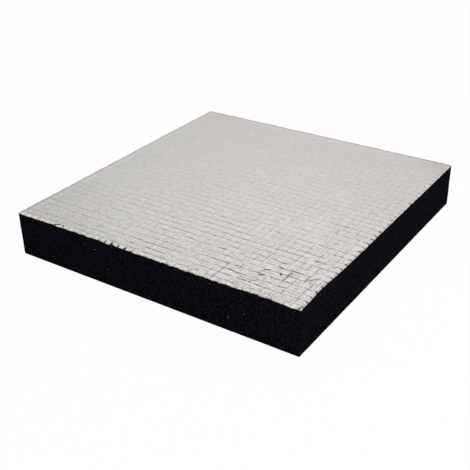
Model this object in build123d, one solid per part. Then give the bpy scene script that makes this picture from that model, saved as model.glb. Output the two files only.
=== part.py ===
from build123d import *
from math import sqrt
import os

# Polyester acoustic panel, lying flat with its facing up.
# A black polyester slab carries a thread-reinforced metallised film over its whole top. The panel is
# cut from wide sheet, so its four sides are plain blade cuts through the slab and the film together.
# The blade presses the film down before it parts, which leaves a narrow rolled rim all round.
# Millimetres, +Z up. The origin is the centre of the underside, the face that is bonded in place.

# Outside of the cut panel
PANEL_LENGTH = 350.0     # along X
PANEL_WIDTH = 340.0      # along Y
PANEL_THICKNESS = 50.0   # from the underside to the flat of the film

# Film with its reinforcing threads and the adhesive that bonds it to the slab
FACING_THICKNESS = 0.4

# Rolled rim, measured on the top of the slab under the film
RIM_RADIUS = 4.0         # radius of the roll, in a section square to the cut
RIM_DROP = 1.0           # how far the cut edge lies below the flat

# Worked out from the sizes above
core_thickness = PANEL_THICKNESS - FACING_THICKNESS
rim_width = sqrt(RIM_RADIUS**2 - (RIM_RADIUS - RIM_DROP) ** 2)
trim_allowance = RIM_RADIUS - rim_width

ON_UNDERSIDE = (Align.CENTER, Align.CENTER, Align.MIN)


def rolled_blank(cover: float) -> Part:
    """An untrimmed slab with a full roll along its top edges.

    Args:
        cover: thickness of film laid over the slab, or 0 for the bare slab.

    Returns:
        The slab before it is cut to size. A blank with a cover has the same roll centres as the bare
        one, so the film keeps its thickness round the roll.
    """
    overhang = 2 * (trim_allowance + cover)
    blank = Box(
        PANEL_LENGTH + overhang,
        PANEL_WIDTH + overhang,
        core_thickness + cover,
        align=ON_UNDERSIDE,
    )
    top_edges = blank.faces().sort_by(Axis.Z)[-1].edges()
    return fillet(top_edges, RIM_RADIUS + cover)


def cut_to_size(sheet: Part) -> Part:
    """The part of a sheet that the four blade cuts leave.

    Args:
        sheet: an untrimmed solid, wider than the panel on all sides.

    Returns:
        The sheet with its four sides cut square, flush with each other.
    """
    cutter = Box(PANEL_LENGTH, PANEL_WIDTH, PANEL_THICKNESS, align=ON_UNDERSIDE)
    return sheet & cutter


bare_blank = rolled_blank(cover=0.0)
covered_blank = rolled_blank(cover=FACING_THICKNESS)

nodes = {
    "polyester_core": cut_to_size(bare_blank),
    "foil_facing": cut_to_size(covered_blank - bare_blank),
}

os.makedirs("parts", exist_ok=True)
for name, shape in nodes.items():
    shape.label = name
    export_step(shape, f"parts/{name}.step")
    box = shape.bounding_box()
    print(f"{name}: {box.size.X:.1f} x {box.size.Y:.1f} x {box.size.Z:.2f} mm, {shape.volume / 1000:.1f} cm3")
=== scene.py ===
"""A polyester acoustic panel, lying flat in a plain white studio.

A black polyester slab carries a metallised film that a net of threads reinforces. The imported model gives
the size and place of both pieces. This script adds what the eye sees of them: the film's raised threads,
creases and drawn-down rim, the grain of the cut slab, the finishes, the light and the camera.

Lengths are metres, in the frame of the model: its origin is the centre of the panel's underside. Left is
the cut at -X, front the cut at -Y. Crosswise threads run along Y, lengthwise ones along X. A pair of
numbers for a strength is mostly a start and a rise: what it is at 0, and what it gains up to 1.
"""

import logging
from collections.abc import Callable, Sequence
from dataclasses import dataclass
from enum import Enum, IntEnum
from functools import cached_property
from math import cos, exp, hypot, pi, radians, sin, sqrt

import bmesh
import bpy
from mathutils import Matrix, Vector, noise


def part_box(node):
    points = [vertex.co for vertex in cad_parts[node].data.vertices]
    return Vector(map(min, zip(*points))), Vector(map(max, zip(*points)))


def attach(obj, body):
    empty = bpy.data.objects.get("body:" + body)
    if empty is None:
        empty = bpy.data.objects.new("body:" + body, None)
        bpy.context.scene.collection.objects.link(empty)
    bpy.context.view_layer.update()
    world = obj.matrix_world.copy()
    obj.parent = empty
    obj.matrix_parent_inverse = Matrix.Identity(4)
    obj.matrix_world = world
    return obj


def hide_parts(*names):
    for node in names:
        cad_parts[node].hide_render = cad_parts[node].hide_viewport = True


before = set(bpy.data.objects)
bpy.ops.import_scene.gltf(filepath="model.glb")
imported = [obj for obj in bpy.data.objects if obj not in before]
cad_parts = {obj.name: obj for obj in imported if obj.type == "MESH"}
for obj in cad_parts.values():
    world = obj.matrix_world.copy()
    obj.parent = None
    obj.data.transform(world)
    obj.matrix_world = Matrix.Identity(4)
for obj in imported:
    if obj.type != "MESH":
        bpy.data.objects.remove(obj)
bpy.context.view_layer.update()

MM = 0.001
SAME_PLACE = 0.01 * MM
LAYER_STEP = 7.31
LAYER_START = 0.37
WHITE = (1.0, 1.0, 1.0, 1.0)

Pair = tuple[float, float]
Triple = tuple[float, float, float]

log = logging.getLogger("acoustic_panel")


class Layer(IntEnum):
    """Layers of noise, by what reads them."""

    RIGHT_AND_BACK_ROLL = 11
    LEFT_AND_FRONT_ROLL = 12
    LEFT_TEAR = 13
    RIGHT_TEAR = 14
    FRONT_TEAR = 15
    BACK_TEAR = 16
    CROSSWISE_THREADS = 21
    WANDER_X = 31
    WANDER_Y = 32
    DOMES = 41
    SWELL = 42
    LEFT_AND_RIGHT_CUTS = 51
    LIP = 51
    FRONT_AND_BACK_CUTS = 52
    LENGTHWISE_THREADS = 61
    FRONT_NICKS = 71
    LEFT_NICKS = 72


def ripple(x: float, y: float, layer: int) -> float:
    """Smooth noise between about -1 and 1, the same in every run, at a place in lengths of the noise."""
    return noise.noise(Vector((x, y, LAYER_STEP * layer + LAYER_START)))


def bump_profile(distance: float, reach: float) -> float:
    """Height of a smooth bump: 1 in its middle, 0 from the reach outwards."""
    return cos(0.5 * pi * min(1.0, abs(distance) / reach)) ** 2


def kept(value: float, low: float, high: float) -> float:
    """A value kept between two limits."""
    return min(max(value, low), high)


def sign(value: float) -> int:
    """1 for a place on the right or at the back, -1 for one on the left or at the front."""
    return 1 if value > 0 else -1


def rising(strength: Pair, share: "float | Tone") -> "float | Tone":
    """A strength that starts at a pair's first number and gains its second times the share."""
    return strength[0] + strength[1] * share


@dataclass(frozen=True)
class PanelOutline:
    """The cut outline and the rolled rim, which the slab and the film share."""

    half_length: float
    half_width: float
    slab_top: float
    film_top: float
    rim_edge: float
    rim_radius: float = 4.0 * MM
    roll_waver: float = 0.45
    corner_drop: float = 0.9 * MM
    waver: float = 0.28 * MM
    left_waver: float = 0.95 * MM
    waver_length: float = 9.0 * MM
    waver_inset: float = 0.35
    tatter: float = 0.8
    tatter_length: float = 2.8 * MM
    cut_back_left: float = 1.6 * MM
    cut_back_front: float = 1.3 * MM
    cut_back_middle: float = 43.0 * MM
    cut_back_reach: float = 42.0 * MM

    @classmethod
    def from_model(cls) -> "PanelOutline":
        """Read the outline's length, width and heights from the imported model.

        Returns:
            The outline.
        """
        _, slab_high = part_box("polyester_core")
        film_low, film_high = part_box("foil_facing")
        return cls(slab_high[0], slab_high[1], slab_high[2], film_high[2], film_low[2])

    @property
    def rim_drop(self) -> float:
        """How far the slab's cut edge lies below its flat top."""
        return self.slab_top - self.rim_edge

    @property
    def rim_width(self) -> float:
        """How far inboard of the cut the roll starts."""
        return sqrt(self.rim_radius**2 - (self.rim_radius - self.rim_drop) ** 2)

    def roll(self, inboard: float) -> float:
        """How far the film's rolled surface lies below its flat, at a distance from the cut.

        Args:
            inboard: the distance.

        Returns:
            The drop, 0 from the start of the roll inwards.
        """
        radius = self.rim_radius + self.film_top - self.slab_top
        into_roll = kept(self.rim_width - inboard, 0.0, radius)
        return radius - sqrt(radius**2 - into_roll**2)

    def top_drop(self, x: float, y: float) -> float:
        """How far the film lies below its flat at a place, for all four rims together.

        Args:
            x: place along the length.
            y: place along the width.

        Returns:
            The drop, a little uneven along each cut.
        """
        drop_x = self.roll(self.half_length - abs(x)) * self.unevenness(y, x)
        drop_y = self.roll(self.half_width - abs(y)) * self.unevenness(x, y)
        return max(drop_x, drop_y) + self.corner_drop * min(drop_x, drop_y) / self.rim_drop

    def unevenness(self, along: float, across: float) -> float:
        """How unevenly a cut has drawn its rim down, around 1. The cut is known by the sign of across."""
        layer = Layer.RIGHT_AND_BACK_ROLL if across > 0 else Layer.LEFT_AND_FRONT_ROLL
        return 1.0 + self.roll_waver * ripple(along / self.waver_length, 0.0, layer)

    def outline_shift(self, x: float, y: float) -> Vector:
        """How far the blade strayed from the straight cuts at a place on the outline.

        Args:
            x: place along the length.
            y: place along the width.

        Returns:
            A small move in the plane of the panel, nothing away from the cut sides.
        """
        from_left, from_front = x + self.half_length, y + self.half_width
        if x < 0:
            stray_x = self.stray(y, from_front, self.left_waver, self.cut_back_left, Layer.LEFT_TEAR)
        else:
            stray_x = self.stray(y, from_front, self.waver, 0.0, Layer.RIGHT_TEAR)
        if y < 0:
            stray_y = self.stray(x, from_left, self.waver, self.cut_back_front, Layer.FRONT_TEAR)
        else:
            stray_y = self.stray(x, from_left, self.waver, 0.0, Layer.BACK_TEAR)
        stray_x *= sign(x) * bump_profile(self.half_length - abs(x), self.rim_width)
        stray_y *= sign(y) * bump_profile(self.half_width - abs(y), self.rim_width)
        return Vector((stray_x, stray_y, 0.0))

    def stray(self, along: float, from_corner: float, waver: float, cut_back: float, layer: int) -> float:
        """How far outwards the blade strayed at a place along one cut.

        Args:
            along: place along the cut, from its middle.
            from_corner: the same place, from the cut's left or front end.
            waver: how far the blade strays to either side.
            cut_back: how far it has cut the film back near the front corner.
            layer: noise layer of the cut.

        Returns:
            The distance, negative where the film ends inboard of the straight cut.
        """
        coarse = ripple(along / self.waver_length, 0.0, layer)
        fine = ripple(along / self.tatter_length, 0.5, layer)
        hollow = bump_profile(from_corner - self.cut_back_middle, self.cut_back_reach)
        return waver * (coarse + self.tatter * fine - self.waver_inset) - cut_back * hollow

    def inset(self, place: Vector, inboard: float, height: float) -> Vector:
        """The place of a point once it is moved to a height, and inwards from the cut sides."""
        free_x, free_y = self.half_length - inboard, self.half_width - inboard
        return Vector((kept(place.x, -free_x, free_x), kept(place.y, -free_y, free_y), height))


class ThreadWave(Enum):
    """What varies along a thread: layer after the set's own, length, and step and start per thread."""

    NEAR = (1, 7.5 * MM, 3.7, 0.0)
    FAR = (2, 34.0 * MM, 1.9, 0.0)
    SWAY = (3, 8.0 * MM, 2.3, 0.0)
    FOLD = (7, 9.0 * MM, 4.1, 0.3)


@dataclass(frozen=True)
class ThreadSet:
    """Parallel threads of the net, spread from one cut side to the opposite one."""

    half_span: float
    first: float
    pitch: float
    pairing: float
    scatter: float
    layer: int
    evenness: float
    waxing: float = 1.0
    lead: float = 0.0
    scatter_step: float = 0.77
    reach: float = 1.0 * MM
    shoulder: float = 0.5 * MM
    gap_shares: Pair = (0.38, 0.62)
    finest: float = 0.25 * MM
    narrowest: float = 0.1 * MM
    stray: float = 0.8 * MM
    stray_gain: Pair = (0.5, 1.0)
    near_depth: Pair = (0.6, 0.7)
    far_loss: float = 0.6
    limits: Pair = (0.05, 1.6)
    fold_gain: Pair = (0.05, 2.6)
    fold_most: float = 0.9

    @cached_property
    def places(self) -> list[float]:
        """Where the threads cross the panel's middle line, in order."""
        last = int((2 * self.half_span - self.first - self.reach) / self.pitch)
        return [self.place_of(thread) for thread in range(last + 1)]

    def place_of(self, thread: int) -> float:
        """Where one thread crosses the panel's middle line.

        Args:
            thread: the thread's number.

        Returns:
            Its place, a little beside the even one.
        """
        place = self.first - self.half_span + self.pitch * thread
        place += self.pairing * (1 if thread % 2 else -1)
        place += self.scatter * ripple(thread * self.scatter_step, 0.5, self.layer)
        return place if thread else place + self.lead

    def stops(self, rim_stops: Sequence[float]) -> list[float]:
        """Where the film's mesh has its lines, so that each thread gets a crest and two flanks.

        Args:
            rim_stops: distances from the cut sides that the rolled rim needs.

        Returns:
            The places of the lines, in order, from one cut side to the other.
        """
        threads = self.places
        stops = [side * (self.half_span - inboard) for inboard in rim_stops for side in (-1, 1)]
        for thread in threads:
            stops += [thread + d for d in (-self.reach, -self.shoulder, 0.0, self.shoulder, self.reach)]
        for low, high in zip(threads, threads[1:]):
            stops += [low + (high - low) * share for share in self.gap_shares]
        stops = sorted(stop for stop in stops if abs(stop) <= self.half_span)
        chosen = [stops[0]]
        for stop in stops[1:-1]:
            if min(stop - chosen[-1], stops[-1] - stop) > self.finest:
                chosen.append(stop)
        return chosen + [stops[-1]]

    def wave(self, kind: ThreadWave, thread: int, along: float) -> float:
        """Noise of one kind at a place along one thread, between about -1 and 1."""
        layer, length, step, start = kind.value
        return ripple(along / length, thread * step + start, self.layer + layer)

    def sway(self, thread: int, along: float) -> float:
        """How far one thread lies beside its straight line at a place along it.

        Args:
            thread: the thread's number, or one past either end for the cut sides, which don't sway.
            along: place along it.

        Returns:
            The distance.
        """
        if not 0 <= thread < len(self.places):
            return 0.0
        return self.stray * self.wave(ThreadWave.SWAY, thread, along)

    def strength(self, thread: int, along: float, broken: float) -> float:
        """How sharply one thread shows at a place along it.

        Args:
            thread: the thread's number.
            along: place along it.
            broken: 0 where the thread shows as one long line, 1 where it changes from cell to cell.

        Returns:
            A share between the two limits.
        """
        near = rising(self.near_depth, broken) * self.wave(ThreadWave.NEAR, thread, along)
        far = self.waxing * (1.0 - self.far_loss * broken) * self.wave(ThreadWave.FAR, thread, along)
        return kept(self.evenness + near + far, *self.limits)

    def between(self, cell: int, along: float) -> float:
        """How sharply the film folds midway between a thread and the next one, mostly 0."""
        fold = rising(self.fold_gain, self.wave(ThreadWave.FOLD, cell, along))
        return kept(fold, 0.0, self.fold_most)


@dataclass(frozen=True)
class NetLine:
    """Where one line of the film's mesh lies among the threads it runs beside."""

    threads: ThreadSet
    rest: float
    count: float
    before: int
    share: float
    ridge: float

    @classmethod
    def among(cls, threads: ThreadSet, rest: float) -> "NetLine":
        """Find the place of a mesh line.

        Args:
            threads: the threads that it runs beside.
            rest: where the line lies before the threads sway.

        Returns:
            The line, with the number of the thread before it and its share of the way to the next.
        """
        places = threads.places
        before = sum(1 for place in places if place <= rest) - 1
        walls = [-threads.half_span, *places, threads.half_span]
        low, high = walls[before + 1 : before + 3]
        count = before + (rest - low) / (high - low)
        free = max(high - low - 2 * threads.reach, threads.narrowest)
        share = kept((rest - low - threads.reach) / free, 0.0, 1.0)
        nearest = min(abs(rest - place) for place in places)
        return cls(threads, rest, count, before, share, bump_profile(nearest, threads.reach))

    @property
    def nearest(self) -> int:
        """Number of the thread that the line belongs to."""
        nearer = self.before if self.share < 0.5 else self.before + 1
        return kept(nearer, 0, len(self.threads.places) - 1)

    def at(self, along: float, broken: float) -> float:
        """Where the line lies at a place along it. It sways most where it is most broken."""
        low, high = (self.threads.sway(self.before + step, along) for step in (0, 1))
        return self.rest + (low + (high - low) * self.share) * rising(self.threads.stray_gain, broken)

    def strength(self, along: float, broken: float) -> float:
        """How sharply the nearest thread shows at a place along the line, as in ThreadSet.strength."""
        return self.threads.strength(self.nearest, along, broken)

    def between(self, along: float) -> float:
        """How sharply the film folds beside the line, midway between its two threads."""
        return self.threads.between(self.before, along)


@dataclass(frozen=True)
class Crease:
    """A short fold that the film has taken in handling, in panel places."""

    start: Vector
    end: Vector
    darkness: float
    darkest_depth: float = 0.28 * MM
    reach: float = 1.3 * MM
    end_depth: Pair = (0.08, 0.84)

    @property
    def run(self) -> Vector:
        """From the start to the end."""
        return self.end - self.start

    def sink(self, x: float, y: float) -> float:
        """How far the fold sinks the film at a place.

        Args:
            x: place along the length.
            y: place along the width.

        Returns:
            The depth there, 0 away from the fold.
        """
        run = self.run
        offset = Vector((x, y)) - self.start
        along = kept(offset.dot(run) / run.length_squared, 0.0, 1.0)
        aside = (offset - run * along).length
        depth = self.darkest_depth * self.darkness * sin(pi * rising(self.end_depth, along))
        return depth * bump_profile(aside, self.reach)


class Tone:
    """A shader number that takes part in Python sums, each of which adds its Math node."""

    def __init__(self, tree: bpy.types.NodeTree, socket: bpy.types.NodeSocket) -> None:
        """Wrap a socket of a node tree."""
        self.tree = tree
        self.socket = socket

    def _sum(self, operation: str, first: "Tone | float", second: "Tone | float") -> "Tone":
        """Add a Math node.

        Args:
            operation: the node's operation.
            first: what goes into its first socket.
            second: what goes into its second socket.

        Returns:
            The node's result.
        """
        node = self.tree.nodes.new("ShaderNodeMath")
        node.operation = operation
        for socket, value in zip(node.inputs, (first, second)):
            if isinstance(value, Tone):
                self.tree.links.new(value.socket, socket)
            else:
                socket.default_value = value
        return Tone(self.tree, node.outputs[0])

    def __add__(self, other: "Tone | float") -> "Tone":
        """Sum."""
        return self._sum("ADD", self, other)

    __radd__ = __add__

    def __sub__(self, other: "Tone | float") -> "Tone":
        """Difference."""
        return self._sum("SUBTRACT", self, other)

    def __rsub__(self, other: float) -> "Tone":
        """Difference from a plain number."""
        return self._sum("SUBTRACT", other, self)

    def __mul__(self, other: "Tone | float") -> "Tone":
        """Product."""
        return self._sum("MULTIPLY", self, other)

    __rmul__ = __mul__

    def __pow__(self, power: float) -> "Tone":
        """Power."""
        return self._sum("POWER", self, power)

    def size(self) -> "Tone":
        """The value without its sign."""
        return self._sum("ABSOLUTE", self, 0.0)

    def fold(self, span: float) -> "Tone":
        """The distance to the nearest whole number of twice the span."""
        return self._sum("PINGPONG", self, span)

    def at_most(self, limit: "Tone | float") -> "Tone":
        """The lesser of two values."""
        return self._sum("MINIMUM", self, limit)

    def at_least(self, limit: "Tone | float") -> "Tone":
        """The greater of two values."""
        return self._sum("MAXIMUM", self, limit)

    def share(self) -> "Tone":
        """The value, kept between 0 and 1."""
        return self.at_least(0.0).at_most(1.0)

    def above(self, low: float, high: float) -> "Tone":
        """A ramp of the value: 0 up to the low one, 1 from the high one."""
        return ((self - low) * (1.0 / (high - low))).share()


@dataclass(frozen=True)
class Grain:
    """Cloudy noise: the length of one cloud, its finer layers, and how much finer along each axis."""

    size: float
    detail: float = 2.0
    scale: Triple = (1.0, 1.0, 1.0)


class Palette:
    """The nodes of one material or world."""

    def __init__(self, owner: bpy.types.Material | bpy.types.World) -> None:
        """Start an empty tree.

        Args:
            owner: the material or world that the tree is on.
        """
        owner.use_nodes = True
        self.owner = owner
        self.tree = owner.node_tree
        self.tree.nodes.clear()

    @classmethod
    def of_material(cls, name: str) -> "Palette":
        """Start an empty tree on a new material."""
        return cls(bpy.data.materials.new(name))

    def principled(self, inputs: dict) -> bpy.types.Material:
        """Finish the material with one Principled shader."""
        self.finish("OutputMaterial", self.node("BsdfPrincipled", inputs=inputs))
        return self.owner

    def node(self, kind: str, settings: dict | None = None, inputs: dict | None = None) -> bpy.types.Node:
        """Add a node.

        Args:
            kind: the node's type without its ShaderNode prefix.
            settings: attributes set first; stops is a colour ramp's list of place and grey.
            inputs: values, tones or sockets for its inputs, by name or number.

        Returns:
            The node.
        """
        made = self.tree.nodes.new(f"ShaderNode{kind}")
        for name, value in (settings or {}).items():
            if name == "stops":
                self._set_stops(made.color_ramp, value)
            else:
                setattr(made, name, value)
        for name, value in (inputs or {}).items():
            socket = made.inputs[name]
            if isinstance(value, Tone):
                self.tree.links.new(value.socket, socket)
            elif isinstance(value, bpy.types.NodeSocket):
                self.tree.links.new(value, socket)
            else:
                socket.default_value = value
        return made

    @staticmethod
    def _set_stops(ramp: bpy.types.ColorRamp, stops: Sequence[Pair]) -> None:
        """Give a colour ramp its stops.

        Args:
            ramp: the ramp, with its two stops.
            stops: place and grey of each stop, in order.
        """
        while len(ramp.elements) < len(stops):
            ramp.elements.new(0.5)
        for element, (place, grey) in zip(ramp.elements, stops):
            element.position = place
            element.color = (grey, grey, grey, 1.0)

    def tone(self, kind: str, settings: dict | None = None, inputs: dict | None = None) -> Tone:
        """Add a node, as node does, and take its first number or colour as a tone."""
        return Tone(self.tree, self.node(kind, settings, inputs).outputs[0])

    def parts(self, vector: bpy.types.NodeSocket) -> list[Tone]:
        """The three numbers of a vector."""
        split = self.node("SeparateXYZ", inputs={"Vector": vector})
        return [Tone(self.tree, part) for part in split.outputs]

    def attribute(self, name: str) -> list[Tone]:
        """The three numbers that a mesh keeps at its points under a name."""
        return self.parts(self.node("Attribute", {"attribute_name": name}).outputs["Vector"])

    def vector(self, operation: str, inputs: dict) -> bpy.types.NodeSocket:
        """The result of a Vector Math node: a vector, or else a number."""
        made = self.node("VectorMath", {"operation": operation}, inputs)
        return made.outputs["Value" if operation in ("DOT_PRODUCT", "DISTANCE") else "Vector"]

    def towards(self, place: bpy.types.NodeSocket, way: Sequence[float]) -> Tone:
        """How far a place lies along a direction."""
        return Tone(self.tree, self.vector("DOT_PRODUCT", {0: place, 1: way}))

    def blend(
        self, share: Tone, first: Triple | bpy.types.NodeSocket, second: Triple
    ) -> bpy.types.NodeSocket:
        """Mix two colours.

        Args:
            share: how much of the second colour there is.
            first: a colour or the socket of one.
            second: a colour.

        Returns:
            The socket of the mixed colour.
        """
        if isinstance(first, tuple):
            first = (*first, 1.0)
        mixed = self.node("Mix", {"data_type": "RGBA"}, {0: share, 6: first, 7: (*second, 1.0)})
        return mixed.outputs[2]

    def object_place(self, scale: Triple = (1.0, 1.0, 1.0)) -> bpy.types.NodeSocket:
        """Object coordinates, stretched by a factor along each axis."""
        place = self.node("TexCoord").outputs["Object"]
        return self.node("Mapping", inputs={"Vector": place, "Scale": scale}).outputs[0]

    def grain(self, grain: Grain) -> Tone:
        """Cloudy noise on the object, around 0.5."""
        place, scale = self.object_place(grain.scale), 1.0 / grain.size
        return self.tone("TexNoise", inputs={"Vector": place, "Scale": scale, "Detail": grain.detail})

    def bump(self, height: Tone, distance: float) -> bpy.types.NodeSocket:
        """The normal of a relief, by its height and how far one unit of height stands out."""
        return self.node("Bump", inputs={"Height": height, "Distance": distance, "Strength": 1.0}).outputs[0]

    def finish(self, kind: str, surface: bpy.types.Node) -> None:
        """Send a shader to the output, which is an OutputMaterial or an OutputWorld."""
        self.node(kind, inputs={"Surface": surface.outputs[0]})


@dataclass(frozen=True)
class FilmTones:
    """What the film's finish reads at each point of the film.

    From the mesh come the distances beside the nearest threads, in pitches, and strengths: of the threads,
    of the folds midway between them, of the painted shade in the nicks at their ends, of the handling and
    of the rim's painted highlight or painted shade. The last three are noise.
    """

    palette: Palette
    beside: list[Tone]
    threads: list[Tone]
    folds: list[Tone]
    nicks: list[Tone]
    handling: Tone
    rim: Tone
    speckle: Tone
    patches: Tone
    glint: Tone


@dataclass(frozen=True)
class MetallisedFilm:
    """Satin silver film, a little warm, with painted shade on the net's lines and painted highlights."""

    # Colours and gloss
    tint: Triple = (0.712, 0.706, 0.661)
    blush: Triple = (0.742, 0.696, 0.664)
    cream: Triple = (0.742, 0.708, 0.630)
    # Painted highlight colour, for the bands beside the threads and the random light flecks
    highlight_tint: Triple = (0.97, 0.94, 0.90)
    # Painted highlight colour of the left and front rims and the front corner's tip
    rim_highlight_tint: Triple = (0.86, 0.87, 0.84)
    # Painted shade colour, for the lines of the net, the folds, the right and back rims and the random dark
    # flecks
    painted_shade_tint: Triple = (0.10, 0.098, 0.092)
    # Painted deep shade colour, for the dents at the threads' ends and the single creases
    deep_shade_tint: Triple = (0.02, 0.022, 0.022)
    metallic: float = 0.75
    rim_highlight_metallic_loss: float = 0.85
    roughness: float = 0.24
    speckle_roughness: float = 0.12
    patch_roughness: float = 0.10

    # Noise all over the film
    speckle: Grain = Grain(1.3 * MM, 3.0)
    patches: Grain = Grain(30 * MM)
    glints: Grain = Grain(1.8 * MM)
    glint_range: Pair = (0.42, 0.62)
    mottle: Grain = Grain(3.2 * MM)
    weave: Grain = Grain(MM, 1.5, (1 / 7.0, 1 / 1.2, 1 / 7.0))
    mottle_shares: Pair = (0.62, 0.38)
    mottle_light: Pair = (0.80, 0.25)
    mottle_dark: Pair = (0.66, 0.24)

    # Warm and creamy patches; painted highlight on the left and front rims, painted shade on the right and
    # back rims
    warm_way: Triple = (0.9, -2.4, 0.0)
    warm_middle: float = 0.74
    warm_patches: Pair = (0.5, 1.8)
    cream_clouds: Grain = Grain(22 * MM, 1.0)
    cream_range: Pair = (0.46, 0.75)
    cream_most: float = 0.7
    rim_highlight_range: Pair = (0.05, 0.75)
    rim_highlight_glint: Pair = (0.55, 0.7)
    painted_rim_shade: float = 0.9

    # Lines of the net in painted shade, painted highlight bands beside them, painted shade in the nicks at
    # their ends
    shiver: float = 0.10
    shiver_clouds: Grain = Grain(3.5 * MM)
    line_core: float = 0.025
    line_softness: Pair = (3.6, 13.5)
    fineness: Pair = (1.0, 1.7)
    thread_shades: Pair = (1.1, 1.3)
    fold_shades: Pair = (0.75, 1.2)
    dash_clouds: Grain = Grain(5 * MM, 1.0)
    dash_depth: float = 4.0
    shade_speckle: Pair = (0.6, 0.7)
    band_middle: float = 0.32
    band_reach: float = 0.16
    lengthwise_band: float = 0.7
    band_glint: Pair = (0.35, 0.6)
    nick_range: Pair = (0.06, 0.19)
    nick_speckle: float = 0.5

    # Single creases and wandering folds, both with painted shade along them, and fine crinkles
    crease_reach: float = 1.35 * MM
    crease_speckle: Pair = (0.8, 1.6)
    long_folds: Grain = Grain(MM, 1.0, (1 / 5.0, 1 / 12.0, 1 / 12.0))
    cross_folds: Grain = Grain(MM, 1.0, (1 / 11.0, 1 / 6.0, 1 / 12.0))
    cross_share: float = 0.6
    fold_width: float = 0.05
    fold_dark: float = 0.3
    crinkle: float = 0.30 * MM
    crinkle_along: Grain = Grain(MM, 2.0, (1 / 1.5, 1 / 5.0, 1 / 5.0))
    crinkle_across: Grain = Grain(MM, 2.0, (1 / 5.0, 1 / 1.2, 1 / 5.0))
    crinkle_shares: Pair = (0.65, 0.42)
    crinkle_depth: Pair = (0.24, 0.7)
    fold_depths: Triple = (0.2, 0.25, 0.2)

    def material(self, creases: Sequence[Crease]) -> bpy.types.Material:
        """Make the material.

        Args:
            creases: single folds that show as dark lines.

        Returns:
            The film's material, which reads the net map and the net's attributes of its mesh.
        """
        palette = Palette.of_material("metallised_film")
        film = self.read(palette)
        halves = self.lines(film, [0.5 - beside for beside in film.beside], film.folds)
        folds = self.folds(film) * film.handling
        mottle = self.mottle_shares[0] * palette.grain(self.mottle)
        mottle = mottle + self.mottle_shares[1] * palette.grain(self.weave) - 0.5
        # Painted highlight on the left and front rims and the front corner's tip, pale and less metallic
        rim_highlight = (film.rim.above(*self.rim_highlight_range) * rising(self.rim_highlight_glint, film.glint)).at_most(1.0)

        # Painted highlight bands beside the threads
        clean = palette.blend(self.highlight_bands(film), self.warm_tint(film), self.highlight_tint)
        clean = palette.blend(rim_highlight, clean, self.rim_highlight_tint)
        # Random flecks, stronger where handled: light ones go towards the painted highlight colour, dark
        # ones towards the painted shade colour
        light = rising(self.mottle_light, film.handling) * mottle.at_least(0.0)
        clean = palette.blend(light, clean, self.highlight_tint)
        # Painted shade along the threads, the midway and wandering folds and the right and back rims, plus
        # the random dark flecks
        dark = self.thread_shade(film, halves)
        dark = dark.at_least(self.fold_dark * folds).at_least(-self.painted_rim_shade * film.rim)
        dark = dark + rising(self.mottle_dark, film.handling) * (-1.0 * mottle).at_least(0.0)
        colour = palette.blend(dark, clean, self.painted_shade_tint)
        # Deeper painted shade in the dents at the threads' ends and along the single creases
        deep_shade = self.nicks(film)
        for crease in creases:
            deep_shade = deep_shade.at_least(self.crease_shade(film, crease))
        colour = palette.blend(deep_shade, colour, self.deep_shade_tint)

        roughness = self.roughness + self.speckle_roughness * (film.speckle - 0.5)
        roughness = roughness + self.patch_roughness * (film.patches - 0.5)
        height = self.crumple(film) * rising(self.crinkle_depth, film.handling)
        for depth, fold in zip(self.fold_depths, (folds, *halves)):
            height = height - depth * fold
        return palette.principled({
            "Base Color": colour,
            "Metallic": self.metallic * (1.0 - self.rim_highlight_metallic_loss * rim_highlight),
            "Roughness": roughness,
            "Normal": palette.bump(height, self.crinkle),
        })

    def read(self, palette: Palette) -> FilmTones:
        """Read the net from the mesh, and make the noise that several parts of the finish share.

        Args:
            palette: where the nodes go.

        Returns:
            The tones.
        """
        shiver = self.shiver * (palette.grain(self.shiver_clouds) - 0.5)
        counts = palette.parts(palette.node("UVMap", {"uv_map": "net"}).outputs[0])
        *threads, handling = palette.attribute("net_strength")
        # fold_strength: the folds of either set, then the rim's painted light, up to 1 for highlight, down
        # to -1 for shade
        *folds, rim = palette.attribute("fold_strength")
        return FilmTones(
            palette=palette,
            beside=[(count + shiver).fold(0.5) for count in counts[:2]],
            threads=threads,
            folds=folds,
            nicks=palette.attribute("dent_shade")[:2],
            handling=handling,
            rim=rim,
            speckle=palette.grain(self.speckle),
            patches=palette.grain(self.patches),
            glint=palette.grain(self.glints).above(*self.glint_range),
        )

    def warm_tint(self, film: FilmTones) -> bpy.types.NodeSocket:
        """The clean film's colour, warmer to the front and in patches.

        Args:
            film: what the finish reads.

        Returns:
            The socket of the colour.
        """
        palette = film.palette
        warmth = self.warm_middle + palette.towards(palette.object_place(), self.warm_way)
        warmth = warmth + rising(self.warm_patches, film.handling) * (film.patches - 0.5)
        creamy = film.handling * palette.grain(self.cream_clouds).above(*self.cream_range)
        warm = palette.blend(warmth.share(), self.tint, self.blush)
        return palette.blend(self.cream_most * creamy, warm, self.cream)

    def lines(self, film: FilmTones, offsets: list[Tone], strengths: list[Tone]) -> list[Tone]:
        """Thin lines of the crosswise and the lengthwise set, sharper where the film has been handled.

        Args:
            film: what the finish reads.
            offsets: distance from the middle of each set's lines, in thread pitches.
            strengths: how strong each set's lines are.

        Returns:
            Up to the strength on the lines of each set, 0 beside them.
        """
        made = []
        for offset, strength, fineness in zip(offsets, strengths, self.fineness):
            steepness = fineness * rising(self.line_softness, film.handling)
            across = ((offset - self.line_core / fineness) * steepness).share()
            made.append((1.0 - across) * strength)
        return made

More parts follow.
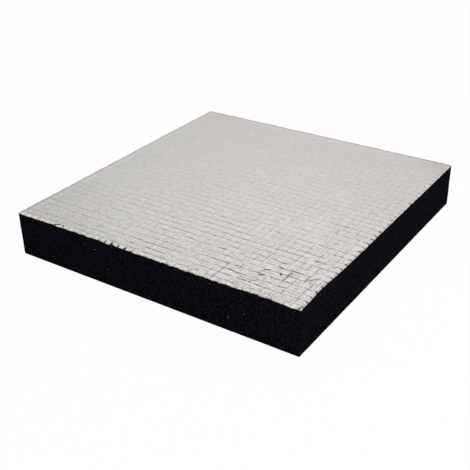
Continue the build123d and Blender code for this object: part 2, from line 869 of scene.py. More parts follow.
    def thread_shade(self, film: FilmTones, halves: list[Tone]) -> Tone:
        """The painted shade along the lines of the net and the folds midway between threads.

        Args:
            film: what the finish reads.
            halves: the folds midway between the threads of either set.

        Returns:
            How dark the film is, between 0 and 1.
        """
        line_x, line_y = self.lines(film, film.beside, film.threads)
        shade = self.thread_shades[0] * line_x + self.thread_shades[1] * line_y
        for strength, half in zip(self.fold_shades, halves):
            shade = shade.at_least(strength * half)
        dashes = film.palette.grain(self.dash_clouds) - 0.5
        dashes = 1.0 + self.dash_depth * film.handling * dashes
        return (shade * dashes * rising(self.shade_speckle, film.speckle)).share()

    def highlight_bands(self, film: FilmTones) -> Tone:
        """Painted highlights: bright bands beside the threads.

        Args:
            film: what the finish reads.

        Returns:
            1 in the middle of a strong band, 0 outside it.
        """
        made = []
        for beside, thread in zip(film.beside, film.threads):
            offset = (beside - self.band_middle).size() * (1.0 / self.band_reach)
            made.append((1.0 - offset.at_most(1.0)) * thread)
        band = made[0].at_least(self.lengthwise_band * made[1])
        return (band * rising(self.band_glint, film.glint)).at_most(1.0)

    def nicks(self, film: FilmTones) -> Tone:
        """The painted shade in the dents at the threads' ends: how dark it is, up to 1."""
        ends = [(1.0 - off.above(*self.nick_range)) * nick for off, nick in zip(film.beside, film.nicks)]
        return ((ends[0] + ends[1]) * (self.nick_speckle + film.speckle)).at_most(1.0)

    def crease_shade(self, film: FilmTones, crease: Crease) -> Tone:
        """The painted shade along a single fold.

        Args:
            film: what the finish reads.
            crease: the fold.

        Returns:
            Up to the fold's darkness on it, 0 beside it.
        """
        palette = film.palette
        start, run = Vector((*crease.start, 0.0)), Vector((*crease.run, 0.0))
        flat_place = palette.object_place((1.0, 1.0, 0.0))
        offset = palette.vector("SUBTRACT", {0: flat_place, 1: start})
        along = (palette.towards(offset, run) * (1.0 / run.length_squared)).share()
        foot = palette.vector("SCALE", {0: run, "Scale": along})
        aside = Tone(palette.tree, palette.vector("DISTANCE", {0: offset, 1: foot}))
        fading = 1.0 - (aside * (1.0 / self.crease_reach)).at_most(1.0)
        return (crease.darkness * fading * rising(self.crease_speckle, film.speckle)).at_most(1.0)

    def folds(self, film: FilmTones) -> Tone:
        """Thin wandering fold lines: 1 on a fold, 0 beside it.

        Args:
            film: what the finish reads.

        Returns:
            The lines, those across the panel fainter.
        """
        made = []
        for clouds in (self.long_folds, self.cross_folds):
            offset = (film.palette.grain(clouds) - 0.5).size()
            made.append(1.0 - offset.above(0.0, self.fold_width))
        return made[0].at_least(self.cross_share * made[1])

    def crumple(self, film: FilmTones) -> Tone:
        """The film's fine crinkles, along the threads of both sets."""
        along, across = (film.palette.grain(way) for way in (self.crinkle_along, self.crinkle_across))
        return self.crinkle_shares[0] * along + self.crinkle_shares[1] * across


@dataclass(frozen=True)
class BlackPolyester:
    """Matt black polyester with a fine, even blade-cut grain and painted shade towards the back."""

    tint: Triple = (0.0010, 0.0013, 0.0017)
    light_tint: Triple = (0.017, 0.0200, 0.0242)
    roughness: float = 0.92
    fibres: Grain = Grain(1.1 * MM, 3.0, (0.7, 0.7, 1.2))
    fibre_range: Pair = (0.42, 0.78)
    clouds: Grain = Grain(9 * MM)
    cloud_light: Pair = (0.4, 0.7)
    tufts: Grain = Grain(2.4 * MM, 1.0)
    tuft_range: Pair = (0.52, 0.72)
    tuft_light: float = 0.35
    # Painted shade: the black darkens towards the back
    backward_shade_way: Triple = (0.0, 0.7, 0.0)
    backward_shade_middle: float = 0.87
    nap: float = 0.26 * MM
    nap_clouds: float = 0.5

    def material(self) -> bpy.types.Material:
        """Make the material.

        Returns:
            The slab's material.
        """
        palette = Palette.of_material("black_polyester")
        fibres, clouds = palette.grain(self.fibres), palette.grain(self.clouds)
        tufts = palette.grain(self.tufts).above(*self.tuft_range)
        lightness = fibres.above(*self.fibre_range) * rising(self.cloud_light, clouds)
        lightness = lightness + self.tuft_light * tufts
        # Painted shade: lightness falls towards the back
        backward_shade = palette.towards(palette.object_place(), self.backward_shade_way)
        lightness = (lightness * (self.backward_shade_middle - backward_shade)).at_most(1.0)
        return palette.principled({
            "Base Color": palette.blend(lightness, self.tint, self.light_tint),
            "Roughness": self.roughness,
            "Specular IOR Level": 0.0,
            "Normal": palette.bump(fibres + self.nap_clouds * clouds, self.nap),
        })


@dataclass(frozen=True)
class PaleLint:
    """Pale grey textile fluff."""

    tint: Triple = (0.62, 0.62, 0.60)
    shaded_tint: Triple = (0.31, 0.31, 0.30)
    roughness: float = 0.9
    strands: Grain = Grain(0.5 * MM)
    strand_range: Pair = (0.3, 0.7)

    def material(self) -> bpy.types.Material:
        """Make the material.

        Returns:
            The fluff's material.
        """
        palette = Palette.of_material("pale_lint")
        strands = palette.grain(self.strands).above(*self.strand_range)
        colour = palette.blend(strands, self.tint, self.shaded_tint)
        return palette.principled({"Base Color": colour, "Roughness": self.roughness})


@dataclass(frozen=True)
class StudioWhite:
    """A white floor that keeps a soft shadow and looks like the white background round it."""

    paint: Triple = (0.9, 0.9, 0.9)
    backlight: float = 0.97

    def material(self) -> bpy.types.Material:
        """Make the material.

        Returns:
            The floor's material, which can't be seen from below.
        """
        palette = Palette.of_material("studio_white")
        rays = palette.node("LightPath")
        seen = Tone(palette.tree, rays.outputs["Is Camera Ray"])
        for kind in ("Is Glossy Ray", "Is Transmission Ray"):
            seen = seen.at_least(Tone(palette.tree, rays.outputs[kind]))
        paint = palette.node("BsdfDiffuse", inputs={"Color": (*self.paint, 1.0)})
        glow = palette.node("Emission", inputs={"Color": WHITE, "Strength": 1.0})
        shaders = {0: seen * self.backlight, 1: paint.outputs[0], 2: glow.outputs[0]}
        lit = palette.node("MixShader", inputs=shaders)
        clear = palette.node("BsdfTransparent")
        below = palette.node("NewGeometry").outputs["Backfacing"]
        surface = palette.node("MixShader", inputs={0: below, 1: lit.outputs[0], 2: clear.outputs[0]})
        palette.finish("OutputMaterial", surface)
        return palette.owner


def add_object(name: str, data: bpy.types.ID) -> bpy.types.Object:
    """Add a mesh, a light or a camera to the scene as an object at the origin.

    Args:
        name: the object's name.
        data: what it shows.

    Returns:
        The object.
    """
    made = bpy.data.objects.new(name, data)
    bpy.context.scene.collection.objects.link(made)
    return made


def finished_object(name: str, mesh: bmesh.types.BMesh, material: bpy.types.Material) -> bpy.types.Object:
    """Turn a finished bmesh into an object of the scene, and report it.

    Args:
        name: the piece's name.
        mesh: its shape, which is freed.
        material: its finish.

    Returns:
        The object, at the origin.
    """
    data = bpy.data.meshes.new(name)
    mesh.to_mesh(data)
    mesh.free()
    data.materials.append(material)
    log.info("%s: %d faces", name, len(data.polygons))
    return add_object(name, data)


def smooth_faces(mesh: bmesh.types.BMesh) -> None:
    """Shade all faces of a mesh smoothly."""
    for face in mesh.faces:
        face.smooth = True


def border_of(mesh: bmesh.types.BMesh) -> list[bmesh.types.BMEdge]:
    """The edges of a mesh's open border."""
    return [edge for edge in mesh.edges if edge.is_boundary]


def step_outline(mesh: bmesh.types.BMesh, move: Callable[[Vector], Vector]) -> None:
    """Grow a mesh by one ring from its open border.

    Args:
        mesh: a mesh with one open border.
        move: gives a border point's next place. Points that meet there become one.
    """
    grown = bmesh.ops.extrude_edge_only(mesh, edges=border_of(mesh))["geom"]
    ring = [item for item in grown if isinstance(item, bmesh.types.BMVert)]
    for vert in ring:
        vert.co = move(vert.co)
    bmesh.ops.remove_doubles(mesh, verts=ring, dist=SAME_PLACE)


def close_inwards(mesh: bmesh.types.BMesh, outline: PanelOutline, first: float, height: float) -> None:
    """Close a mesh's open border with two rings inside the cut sides and a flat face between them.

    Args:
        mesh: a mesh with one open border, at the cut sides.
        outline: the cut outline.
        first: where the first ring goes, as a share of the way to the start of the roll.
        height: height of the rings and the face.
    """
    for share in (first, 1.0):
        inboard = share * outline.rim_width
        step_outline(mesh, lambda place: outline.inset(place, inboard, height))
    bmesh.ops.contextual_create(mesh, geom=border_of(mesh))


@dataclass(frozen=True)
class Wear:
    """How handling has made the net stand out: most at the front corner, least at the back right.

    Its distances are shares of the length from the left cut, and of the width from the front one.
    """

    outline: PanelOutline
    most: float = 1.1
    fades: Pair = (1.4, 0.9)
    back_losses: Pair = (0.25, 0.6)
    crosswise: Pair = (0.60, -0.30)
    crosswise_left: Pair = (0.66, 0.42)
    crosswise_left_fade: float = 3.0
    crosswise_corner_loss: float = 0.55
    lengthwise: float = 0.52
    lengthwise_fade: float = 0.9
    lengthwise_bow: Pair = (0.25, -1.2)
    lengthwise_depth: float = 1.3
    corner_reach: float = 95.0 * MM

    def shares(self, x: float, y: float) -> Triple:
        """How much the net stands out at a place.

        Args:
            x: place along the length.
            y: place along the width.

        Returns:
            A share between about 0 and 1 for the crosswise threads, for the lengthwise ones and for the
            wear of the film between them.
        """
        half_length, half_width = self.outline.half_length, self.outline.half_width
        from_left = (x + half_length) / (2 * half_length)
        from_front = kept((y + half_width) / (2 * half_width), 0.0, 1.0)
        handled = self.most * exp(-self.fades[0] * from_left - self.fades[1] * from_left**3)
        handled *= 1.0 - from_front * rising(self.back_losses, from_left)
        crosswise = handled * rising(self.crosswise, from_front**2)
        crosswise *= rising(self.crosswise_left, exp(-self.crosswise_left_fade * from_left))
        crosswise *= 1.0 - self.crosswise_corner_loss * self.cornerness(x, y)
        lengthwise = self.lengthwise * exp(-self.lengthwise_fade * from_left)
        lengthwise *= 1.0 + from_left * rising(self.lengthwise_bow, from_left)
        lengthwise *= (1.0 - from_front) ** self.lengthwise_depth
        return crosswise, lengthwise, handled

    def cornerness(self, x: float, y: float) -> float:
        """How near a place is to the front corner: 1 there, 0 from the corner's reach outwards."""
        inboard = hypot(x + self.outline.half_length, y + self.outline.half_width)
        return bump_profile(inboard, self.corner_reach)


@dataclass(frozen=True)
class CutRim:
    """What the blade did along the cuts: a lip, a groove, nicks; painted shade and highlight on the rims."""

    outline: PanelOutline
    lip: float = 0.25 * MM
    lip_reach: float = 1.2 * MM
    lip_length: float = 6.0 * MM
    lip_evenness: float = 0.8
    groove: float = 0.45 * MM
    groove_middle: float = 2.2 * MM
    groove_reach: float = 1.5 * MM
    groove_depth: Pair = (0.2, 0.9)
    rise: float = 0.12 * MM
    rise_middle: float = 2.5 * MM
    rise_reach: float = 9.0 * MM
    far_ends: float = 0.25
    # Painted shade in the nicks over the threads' ends at the front and left cuts
    nick_middle: float = 1.365 * MM
    nick_reach: float = 2.925 * MM
    nick_step: float = 0.83
    nick_depth: Pair = (1.2, 1.5)
    nick_limits: Pair = (0.5, 1.7)
    front_nicks: Pair = (0.95, -0.42)
    left_nicks: Pair = (0.2, 1.3)
    left_nicks_middle: float = 38.0 * MM
    left_nicks_reach: float = 34.0 * MM
    # Painted highlight on the left and front rims and the front corner's tip; painted shade on the right and
    # back rims and towards the right front corner
    highlight_reach: float = 4.5 * MM
    highlight_front: float = 0.44
    highlight_tip: float = 5.5 * MM
    highlight_tip_gain: float = 1.2
    painted_rim_shade: float = 2.2 * MM
    shade_back: float = 0.6
    shade_border: float = 9.0 * MM
    shade_border_gain: float = 0.28
    shade_corner: float = 60.0 * MM
    shade_corner_gain: float = 0.17

    def height(self, x: float, y: float, end_x: float, end_y: float) -> float:
        """Height that the cuts have added to the rolled rim at a place.

        Args:
            x: place along the length.
            y: place along the width.
            end_x: 1 where a crosswise thread runs, 0 between threads.
            end_y: 1 where a lengthwise thread runs, 0 between threads.

        Returns:
            The height to add, negative in the groove.
        """
        end_x *= 1.0 if y < 0 else self.far_ends
        end_y *= 1.0 if x < 0 else self.far_ends
        height_x = self.profile(self.outline.half_length - abs(x), y, end_y)
        return height_x + self.profile(self.outline.half_width - abs(y), x, end_x)

    def profile(self, inboard: float, along: float, ends: float) -> float:
        """Height that one cut has added: a raised lip and a groove inboard of it.

        Args:
            inboard: distance from the cut side.
            along: place along it.
            ends: 1 where a thread ends at the cut, 0 between threads.

        Returns:
            The height to add, negative in the groove.
        """
        unsteady = self.lip_evenness + ripple(along / self.lip_length, inboard, Layer.LIP)
        lip = self.lip * bump_profile(inboard, self.lip_reach) * unsteady
        depth = self.groove * rising(self.groove_depth, ends)
        groove = depth * bump_profile(inboard - self.groove_middle, self.groove_reach)
        return lip - groove + self.rise * bump_profile(inboard - self.rise_middle, self.rise_reach)

    def nicks(self, line_x: NetLine, line_y: NetLine, x: float, y: float) -> Vector:
        """How dark the painted shade is in the blade's nicks over the nearest threads' ends.

        Args:
            line_x: the mesh line across the length.
            line_y: the mesh line across the width.
            x: where they meet along the length.
            y: where they meet along the width.

        Returns:
            How dark the painted shade in the nick is, for a crosswise thread at the front and a lengthwise
            one at the left.
        """
        from_left = self.outline.half_length + line_x.rest
        from_front = self.outline.half_width + line_y.rest
        front = rising(self.front_nicks, 1.0 + x / self.outline.half_length)
        left = rising(self.left_nicks, bump_profile(y - self.left_nicks_middle, self.left_nicks_reach))
        nick_x = front * self.nick(from_front, line_x.nearest, Layer.FRONT_NICKS)
        nick_y = left * self.nick(from_left, line_y.nearest, Layer.LEFT_NICKS)
        return Vector((nick_x, nick_y, 0.0))

    def nick(self, inboard: float, thread: int, layer: int) -> float:
        """How dark the painted shade in the nick over one thread's end is. The layer of noise picks the
        darkest threads.
        """
        picked = rising(self.nick_depth, ripple(thread * self.nick_step, 0.4, layer))
        return kept(picked, *self.nick_limits) * bump_profile(inboard - self.nick_middle, self.nick_reach)

    def rim_light_and_shade(self, x: float, y: float) -> float:
        """How much painted highlight or painted shade the rim has at a place.

        Args:
            x: place along the length.
            y: place along the width.

        Returns:
            Up to 1 for the painted highlight on the left and front rims, down to -1 for the painted shade on
            the right and back ones.
        """
        from_left, from_right = self.outline.half_length + x, self.outline.half_length - x
        from_front, from_back = self.outline.half_width + y, self.outline.half_width - y
        # Painted highlight along the left and front rims and at the front corner's tip
        near = bump_profile(from_left, self.highlight_reach)
        near += self.highlight_front * bump_profile(from_front, self.highlight_reach)
        near += self.highlight_tip_gain * bump_profile(hypot(from_left, from_front), self.highlight_tip)
        # Painted shade along the right and back rims and towards the right front corner
        far = bump_profile(from_right, self.painted_rim_shade)
        far += self.shade_back * bump_profile(from_back, self.painted_rim_shade)
        far += self.shade_border_gain * bump_profile(from_right, self.shade_border)
        far += self.shade_corner_gain * bump_profile(hypot(from_right, from_front), self.shade_corner)
        return min(near, 1.0) - min(far, 1.0)


@dataclass(frozen=True)
class FilmPoint:
    """A point of the film: its two mesh lines, where they meet, and how much the net stands out there."""

    line_x: NetLine
    line_y: NetLine
    x: float
    y: float
    broken: float
    crosswise: float
    lengthwise: float
    handled: float
    corner: float


@dataclass
class Facing:
    """The metallised film, with the net that shows through it."""

    outline: PanelOutline
    finish: MetallisedFilm = MetallisedFilm()
    thread_lift: float = 0.32 * MM
    cut_thickness: float = 0.45 * MM
    bedding: float = 0.9 * MM
    first_ring: float = 0.5
    rim_stops: tuple[float, ...] = (0.0, 0.5 * MM, 1.1 * MM, 1.8 * MM, 2.7 * MM, 3.7 * MM)
    wander: float = 0.55 * MM
    wander_lengths: Pair = (30 * MM, 55 * MM)
    held_rim: int = 8
    lengthwise_broken: float = 0.5
    cell_dome: float = 0.20 * MM
    dome_evenness: float = 0.3
    dome_flat: float = 0.2
    dome_step: float = 1.37
    swell: float = 0.12 * MM
    swell_length: float = 45 * MM
    quiet_rim: float = 7.0 * MM
    quiet_loss: float = 0.6
    corner_folds_x: Pair = (1.0, 0.16)
    corner_folds_y: Pair = (0.4, 0.05)

    @cached_property
    def crosswise_threads(self) -> ThreadSet:
        """Lay out the crosswise threads.

        Returns:
            The threads that run along the width, with the first one a little further in.
        """
        return ThreadSet(
            half_span=self.outline.half_length,
            first=4.4 * MM,
            pitch=9.2 * MM,
            pairing=0.0,
            scatter=0.9 * MM,
            layer=Layer.CROSSWISE_THREADS,
            evenness=1.0,
            lead=1.3 * MM,
        )

    @cached_property
    def lengthwise_threads(self) -> ThreadSet:
        """Lay out the lengthwise threads.

        Returns:
            The threads that run along the length, fainter and in loose pairs.
        """
        return ThreadSet(
            half_span=self.outline.half_width,
            first=1.7 * MM,
            pitch=8.4 * MM,
            pairing=0.3 * MM,
            scatter=0.5 * MM,
            layer=Layer.LENGTHWISE_THREADS,
            evenness=0.85,
            waxing=0.6,
        )

    @cached_property
    def creases(self) -> list[Crease]:
        """Lay out the single folds that stand out.

        Returns:
            The folds. They are listed by start, end and darkness, in millimetres from the front corner.
        """
        corner = Vector((-self.outline.half_length, -self.outline.half_width))
        folds = (
            ((51.0, 50.3), (50, 47), 0.95),
            ((39.6, 43.2), (41.4, 43.9), 0.90),
            ((29.2, 59.4), (32.8, 56.6), 1.00),
            ((39.3, 60.5), (42.4, 56.2), 0.65),
            ((51.2, 37), (51, 26), 0.55),
            ((31, 36.6), (51.5, 36.8), 0.45),
            ((45, 16.7), (52.4, 10), 0.45),
            ((76.8, 28), (78.6, 23.5), 0.65),
            ((59, 54.3), (58.5, 49), 0.50),
            ((19, 73), (18, 63), 0.35),
            ((15, 61.7), (21.8, 56.8), 0.40),
            ((14, 54), (14, 39), 0.35),
            ((3, 94.5), (30, 94.3), 0.28),
            ((23.6, 90.5), (23.6, 82), 0.35),
            ((30, 81), (38, 82), 0.30),
            ((42.6, 104), (42.4, 97), 0.40),
            ((40.5, 19.3), (52, 19.1), 0.40),
            ((76, 8.6), (79, 5.5), 0.50),
            ((151.7, 37), (152.5, 31), 0.42),
            ((142.7, 37.3), (134.5, 37), 0.28),
            ((107.3, 88.5), (106.4, 81), 0.30),
            ((191.9, 27), (192.5, 20), 0.25),
            ((1.6, 2.6), (2.7, 1.9), 0.80),
        )
        return [Crease(corner + Vector(a) * MM, corner + Vector(b) * MM, dark) for a, b, dark in folds]

    @cached_property
    def wear(self) -> Wear:
        """How handling has made the net stand out."""
        return Wear(self.outline)

    @cached_property
    def rim(self) -> CutRim:
        """What the blade did along the cuts."""
        return CutRim(self.outline)

    def point(self, line_x: NetLine, line_y: NetLine) -> FilmPoint:
        """Find where two mesh lines meet, with the sway of their threads.

        Args:
            line_x: the mesh line across the length.
            line_y: the mesh line across the width.

        Returns:
            The point.
        """
        rest_x, rest_y = line_x.rest, line_y.rest
        half_width = self.outline.half_width
        free_x = 1.0 - (abs(rest_x) / self.outline.half_length) ** self.held_rim
        free_y = 1.0 - (abs(rest_y) / half_width) ** self.held_rim
        broken = 0.5 - 0.5 * rest_y / half_width
        near, far = self.wander_lengths
        x = line_x.at(rest_y, broken)
        y = line_y.at(rest_x, broken)
        x += self.wander * free_x * ripple(rest_x / near, rest_y / far, Layer.WANDER_X)
        y += self.wander * free_y * ripple(rest_x / far, rest_y / near, Layer.WANDER_Y)
        shares, corner = self.wear.shares(x, y), self.wear.cornerness(x, y)
        return FilmPoint(line_x, line_y, x, y, broken, *shares, corner)

    def quiet(self, point: FilmPoint) -> float:
        """What the left rim leaves of the lengthwise threads at a point."""
        from_left = self.outline.half_length + point.line_x.rest
        return 1.0 - self.quiet_loss * bump_profile(from_left, self.quiet_rim)

    def strengths(self, point: FilmPoint) -> Vector:
        """How strongly the threads of either set show at a point.

        Args:
            point: the point.

        Returns:
            The strengths of the crosswise and the lengthwise threads, and of the handling.
        """
        strength_x = point.crosswise * point.line_x.strength(point.y, point.broken)
        strength_y = point.lengthwise * point.line_y.strength(point.x, self.lengthwise_broken)
        return Vector((strength_x, strength_y * self.quiet(point), point.handled))

    def folds(self, point: FilmPoint) -> Vector:
        """Strengths of the folds between threads of either set, and the rim's painted highlight or painted
        shade.

        Args:
            point: the point.

        Returns:
            The three strengths.
        """
        gain_x, least_x = self.corner_folds_x
        gain_y, least_y = self.corner_folds_y
        fold_x = point.crosswise * point.line_x.between(point.y) * (1.0 + gain_x * point.corner)
        fold_y = point.lengthwise * point.line_y.between(point.x) * (1.0 + gain_y * point.corner)
        fold_x += least_x * point.corner
        fold_y = (fold_y + least_y * point.corner) * self.quiet(point)
        return Vector((fold_x, fold_y, self.rim.rim_light_and_shade(point.line_x.rest, point.line_y.rest)))

    def place(self, point: FilmPoint, strengths: Vector) -> Vector:
        """Where a point of the film's top goes.

        Args:
            point: the point.
            strengths: of the threads there, as strengths gives them.

        Returns:
            The place, with the relief of the threads, the cells, the creases and the rim.
        """
        line_x, line_y, x, y = point.line_x, point.line_y, point.x, point.y
        ridge = self.thread_lift * hypot(line_x.ridge * strengths.x, line_y.ridge * strengths.y)
        cells = ripple(line_x.before * self.dome_step, line_y.before * self.dome_step, Layer.DOMES)
        dome = self.cell_dome * (self.dome_evenness + cells) * (self.dome_flat + point.handled)
        dome *= sin(pi * line_x.share) * sin(pi * line_y.share)
        swell = self.swell * ripple(x / self.swell_length, y / self.swell_length, Layer.SWELL)
        sink = sum(crease.sink(x, y) for crease in self.creases)
        z = self.outline.film_top - self.thread_lift + ridge + dome + swell - sink
        z -= self.outline.top_drop(x, y)
        z += self.rim.height(line_x.rest, line_y.rest, line_x.ridge, line_y.ridge)
        return Vector((x, y, z)) + self.outline.outline_shift(line_x.rest, line_y.rest)

    def build(self) -> bpy.types.Object:
        """Model the film: its top, its cut edge and its underside, which lies on the slab.

        Returns:
            The piece, dressed.
        """
        lines_x, lines_y = (
            [NetLine.among(threads, stop) for stop in threads.stops(self.rim_stops)]
            for threads in (self.crosswise_threads, self.lengthwise_threads)
        )
        mesh = bmesh.new()
        columns, rows = len(lines_x) - 1, len(lines_y) - 1
        bmesh.ops.create_grid(mesh, x_segments=columns, y_segments=rows, size=1.0)
        names = ("net_strength", "fold_strength", "dent_shade", "net_count")
        strengths, folds, nicks, counts = (mesh.verts.layers.float_vector.new(name) for name in names)
        for vert in mesh.verts:
            line_x = lines_x[round((vert.co.x + 1.0) / 2.0 * columns)]
            line_y = lines_y[round((vert.co.y + 1.0) / 2.0 * rows)]
            point = self.point(line_x, line_y)
            vert[strengths] = self.strengths(point)
            vert[folds] = self.folds(point)
            vert[nicks] = self.rim.nicks(line_x, line_y, point.x, point.y)
            vert[counts] = (line_x.count, line_y.count, 0.0)
            vert.co = self.place(point, vert[strengths])
        smooth_faces(mesh)
        step_outline(mesh, lambda place: place - Vector((0.0, 0.0, self.cut_thickness)))
        close_inwards(mesh, self.outline, self.first_ring, self.outline.rim_edge - self.bedding)
        net = mesh.loops.layers.uv.new("net")
        for loop in (loop for face in mesh.faces for loop in face.loops):
            loop[net].uv = loop.vert[counts].xy
        return finished_object("film_with_thread_net", mesh, self.finish.material(self.creases))


@dataclass
class Slab:
    """The black polyester slab, cut square on four sides."""

    outline: PanelOutline
    finish: BlackPolyester = BlackPolyester()
    cell: float = 2.0 * MM
    bedding: float = 0.18 * MM
    first_ring: float = 0.4
    lump_size: float = 3.1 * MM
    cut_lumps: float = 0.08 * MM
    cut_waves: float = 0.12 * MM
    cut_inset: float = 0.176 * MM
    wave_length: float = 26 * MM
    wave_height: float = 14 * MM
    underside_relief: float = 0.12 * MM
    underside_fill: float = 0.4
    near: float = 0.1 * MM

    def build(self) -> bpy.types.Object:
        """Model the slab.

        Returns:
            The piece, dressed.
        """
        outline = self.outline
        mesh = bmesh.new()
        columns, rows = (round(2 * half / self.cell) for half in (outline.half_length, outline.half_width))
        bmesh.ops.create_grid(mesh, x_segments=columns, y_segments=rows, size=1.0)
        bmesh.ops.scale(mesh, vec=(outline.half_length, outline.half_width, 1.0), verts=mesh.verts)
        bmesh.ops.reverse_faces(mesh, faces=mesh.faces)
        levels = round(outline.rim_edge / self.cell)
        for level in range(1, levels + 1):
            height = outline.rim_edge * level / levels
            step_outline(mesh, lambda place: Vector((place.x, place.y, height)))
        close_inwards(mesh, outline, self.first_ring, outline.rim_edge - self.bedding)
        self.roughen(mesh)
        smooth_faces(mesh)
        return finished_object("polyester_slab", mesh, self.finish.material())

    def roughen(self, mesh: bmesh.types.BMesh) -> None:
        """Give the cut sides and the underside their grain.

        Args:
            mesh: the smooth slab.
        """
        for vert in mesh.verts:
            x, y, z = vert.co
            at_end = abs(x) > self.outline.half_length - self.near
            at_side = abs(y) > self.outline.half_width - self.near
            lumps = noise.noise(vert.co / self.lump_size)
            shift = self.cut_lumps * lumps - self.cut_inset
            if z < self.near and not (at_end or at_side):
                vert.co.z += self.underside_relief * max(0.0, self.underside_fill + lumps)
            if at_end:
                waves = ripple(y / self.wave_length, z / self.wave_height, Layer.LEFT_AND_RIGHT_CUTS)
                vert.co.x += sign(x) * (shift + self.cut_waves * waves)
            if at_side:
                waves = ripple(x / self.wave_length, z / self.wave_height, Layer.FRONT_AND_BACK_CUTS)
                vert.co.y += sign(y) * (shift + self.cut_waves * waves)


@dataclass
class Lint:
    """Specks of fluff: pale ones that cling to the left cut side, black ones on the left rim."""

    outline: PanelOutline
    pale_finish: PaleLint = PaleLint()
    black_finish: BlackPolyester = BlackPolyester()
    slimness: float = 0.32
    burr_length: float = 3.4 * MM
    burr_thickness: float = 1.0 * MM
    segments: int = 8
    curl: float = 0.55
    curl_middle: float = 0.1

    def pale_specks(self) -> list[tuple[float, float, float, float]]:
        """List the pale specks.

        Returns:
            Place along the left side, height, turn in degrees and length of each.
        """
        return [
            (77.4 * MM, 39.3 * MM, 70.0, 1.05 * MM),
            (64.4 * MM, 37.0 * MM, 25.0, 1.30 * MM),
            (49.8 * MM, 18.8 * MM, -40.0, 0.75 * MM),
            (-75.7 * MM, 43.9 * MM, 10.0, 0.85 * MM),
            (-94.8 * MM, 14.6 * MM, 120.0, 1.20 * MM),
            (-112.4 * MM, 24.4 * MM, 55.0, 0.90 * MM),
        ]

    def burrs(self) -> list[Triple]:
        """List the black specks.

        Returns:
            Distance inboard, place along the left rim and turn in degrees of each.
        """
        return [
            (2.6 * MM, 114.0 * MM, 28.0),
            (1.0 * MM, 117.0 * MM, 10.0),
            (2.4 * MM, 107.5 * MM, -40.0),
            (2.2 * MM, 41.8 * MM, -70.0),
        ]

    def build(self) -> list[bpy.types.Object]:
        """Model the specks.

        Returns:
            One piece with the pale specks and one with the black ones.
        """
        left, quarter = -self.outline.half_length, radians(90.0)
        pale, black = bmesh.new(), bmesh.new()
        for along, height, turn, length in self.pale_specks():
            facing = Matrix.Rotation(-quarter, 4, "Z") @ Matrix.Rotation(radians(turn), 4, "Y")
            placed = Matrix.Translation((left, along, height)) @ facing
            self.add_speck(pale, length, self.slimness * length, placed)
        height = self.outline.film_top - self.outline.rim_drop + self.burr_thickness
        for inboard, along, turn in self.burrs():
            lying = Matrix.Rotation(radians(turn), 4, "Z") @ Matrix.Rotation(quarter, 4, "X")
            placed = Matrix.Translation((left + inboard, along, height)) @ lying
            self.add_speck(black, self.burr_length, self.burr_thickness, placed)
        for mesh in (pale, black):
            smooth_faces(mesh)
        return [
            finished_object("lint_specks", pale, self.pale_finish.material()),
            finished_object("rim_burrs", black, self.black_finish.material()),
        ]

    def add_speck(self, mesh: bmesh.types.BMesh, length: float, thickness: float, placed: Matrix) -> None:
        """Add one curled speck.

        Args:
            mesh: the mesh to add it to.
            length: its length.
            thickness: its thickness.
            placed: where it goes: Z along it, X the way that it curls.
        """
        verts = bmesh.ops.create_uvsphere(
            mesh, u_segments=self.segments, v_segments=self.segments, radius=0.5
        )["verts"]
        bmesh.ops.scale(mesh, vec=(thickness, thickness, length), verts=verts)
        for vert in verts:
            share = vert.co.z / length
            vert.co.x += length * self.curl * (share**2 - self.curl_middle)
        bmesh.ops.transform(mesh, matrix=placed, verts=verts)


@dataclass(frozen=True)
class SoftLight:
    """A square soft light, by where it hangs."""

    name: str
    place: Triple
    size: float
    power: float

    def hang(self, target: Vector) -> None:
        """Add the light to the scene.

        Args:
            target: the point that it faces.
        """
        data = bpy.data.lights.new(self.name, "AREA")
        data.shape = "SQUARE"
        data.size = self.size
        data.energy = self.power
        made = add_object(self.name, data)
        made.location = self.place
        made.visible_glossy = False
        made.rotation_euler = (target - Vector(self.place)).to_track_quat("-Z", "Y").to_euler()


@dataclass(frozen=True)
class Viewpoint:
    """The photograph's viewpoint, with its angles in degrees."""

    aim: Triple = (-58.8 * MM, -25.33 * MM, 25.0 * MM)
    distance: float = 864.85 * MM
    azimuth: float = -55.74
    elevation: float = 29.11
    roll: float = -1.12
    lens: float = 63.2
    sensor: float = 36.0

    def place_camera(self) -> None:
        """Add the camera and make it the scene's own."""
        turn = (
            Matrix.Rotation(radians(self.azimuth), 4, "Z")
            @ Matrix.Rotation(radians(90.0 - self.elevation), 4, "X")
            @ Matrix.Rotation(radians(self.roll), 4, "Z")
        )
        data = bpy.data.cameras.new("photo_view")
        data.lens = self.lens
        data.sensor_width = self.sensor
        camera = add_object("photo_view", data)
        back = Matrix.Translation((0.0, 0.0, self.distance))
        camera.matrix_world = Matrix.Translation(self.aim) @ turn @ back
        bpy.context.scene.camera = camera
        log.info("camera: %.0f mm from its aim", self.distance / MM)


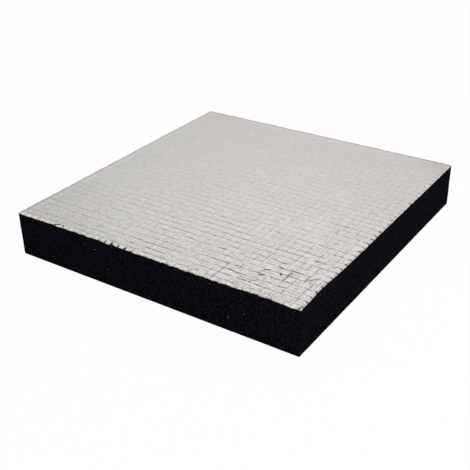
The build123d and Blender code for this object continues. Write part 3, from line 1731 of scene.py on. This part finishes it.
@dataclass(frozen=True)
class Studio:
    """White floor, soft sky and soft lights.

    The sky's steps are elevation in degrees and level. The sky's glow is a soft spot, with its angles in
    degrees.
    """

    floor_reach: float = 30.0
    floor_gap: float = 0.05 * MM
    sky: tuple[Pair, ...] = ((0.0, 1.0), (9.0, 0.42), (18.0, 0.19), (36.0, 0.58), (60.0, 0.26))
    glow: float = 0.64
    glow_azimuth: float = 31.0
    glow_elevation: float = 35.0
    glow_reach: float = 27.0
    glow_falloff: float = 1.3
    finish: StudioWhite = StudioWhite()
    lights: tuple[SoftLight, ...] = (
        SoftLight("ceiling_key", (-0.71, -0.46, 1.6), 0.8, 15.0),
        SoftLight("side_fill", (1.0, -1.4, 1.2), 0.8, 16.0),
    )

    def build(self) -> None:
        """Lay the floor, hang the lights and light the sky."""
        mesh = bmesh.new()
        bmesh.ops.create_grid(mesh, x_segments=1, y_segments=1, size=self.floor_reach)
        bmesh.ops.translate(mesh, vec=(0.0, 0.0, -self.floor_gap), verts=mesh.verts)
        floor = finished_object("studio_floor", mesh, self.finish.material())
        for light in self.lights:
            light.hang(Vector((0.0, 0.0, 0.0)))
        self.light_sky()
        bpy.context.scene.view_settings.view_transform = "Standard"

    def light_sky(self) -> None:
        """Light the world softly: bright at the horizon, with a glow, dim overhead."""
        world = bpy.data.worlds.new("studio_sky")
        bpy.context.scene.world = world
        palette = Palette(world)
        direction = palette.node("TexCoord").outputs["Generated"]
        height = palette.parts(direction)[2]
        stops = [(sin(radians(elevation)), level) for elevation, level in self.sky]
        level = palette.tone("ValToRGB", {"stops": stops}, {"Fac": height})
        azimuth, elevation = radians(self.glow_azimuth), radians(self.glow_elevation)
        middle = Vector((cos(azimuth) * cos(elevation), sin(azimuth) * cos(elevation), sin(elevation)))
        spot = palette.towards(direction, middle).above(cos(radians(self.glow_reach)), 1.0)
        strength = level + self.glow * spot**self.glow_falloff
        surface = palette.node("Background", inputs={"Color": WHITE, "Strength": strength})
        palette.finish("OutputWorld", surface)


def main() -> None:
    """Build the panel and its studio."""
    logging.basicConfig(level=logging.INFO, format="%(name)s: %(message)s")
    outline = PanelOutline.from_model()
    slab = Slab(outline).build()
    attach(slab, "root")
    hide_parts("polyester_core")

    facing = Facing(outline).build()
    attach(facing, "root")
    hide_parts("foil_facing")

    for specks in Lint(outline).build():
        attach(specks, "root")

    Studio().build()
    Viewpoint().place_camera()


if __name__ == "__main__":
    main()
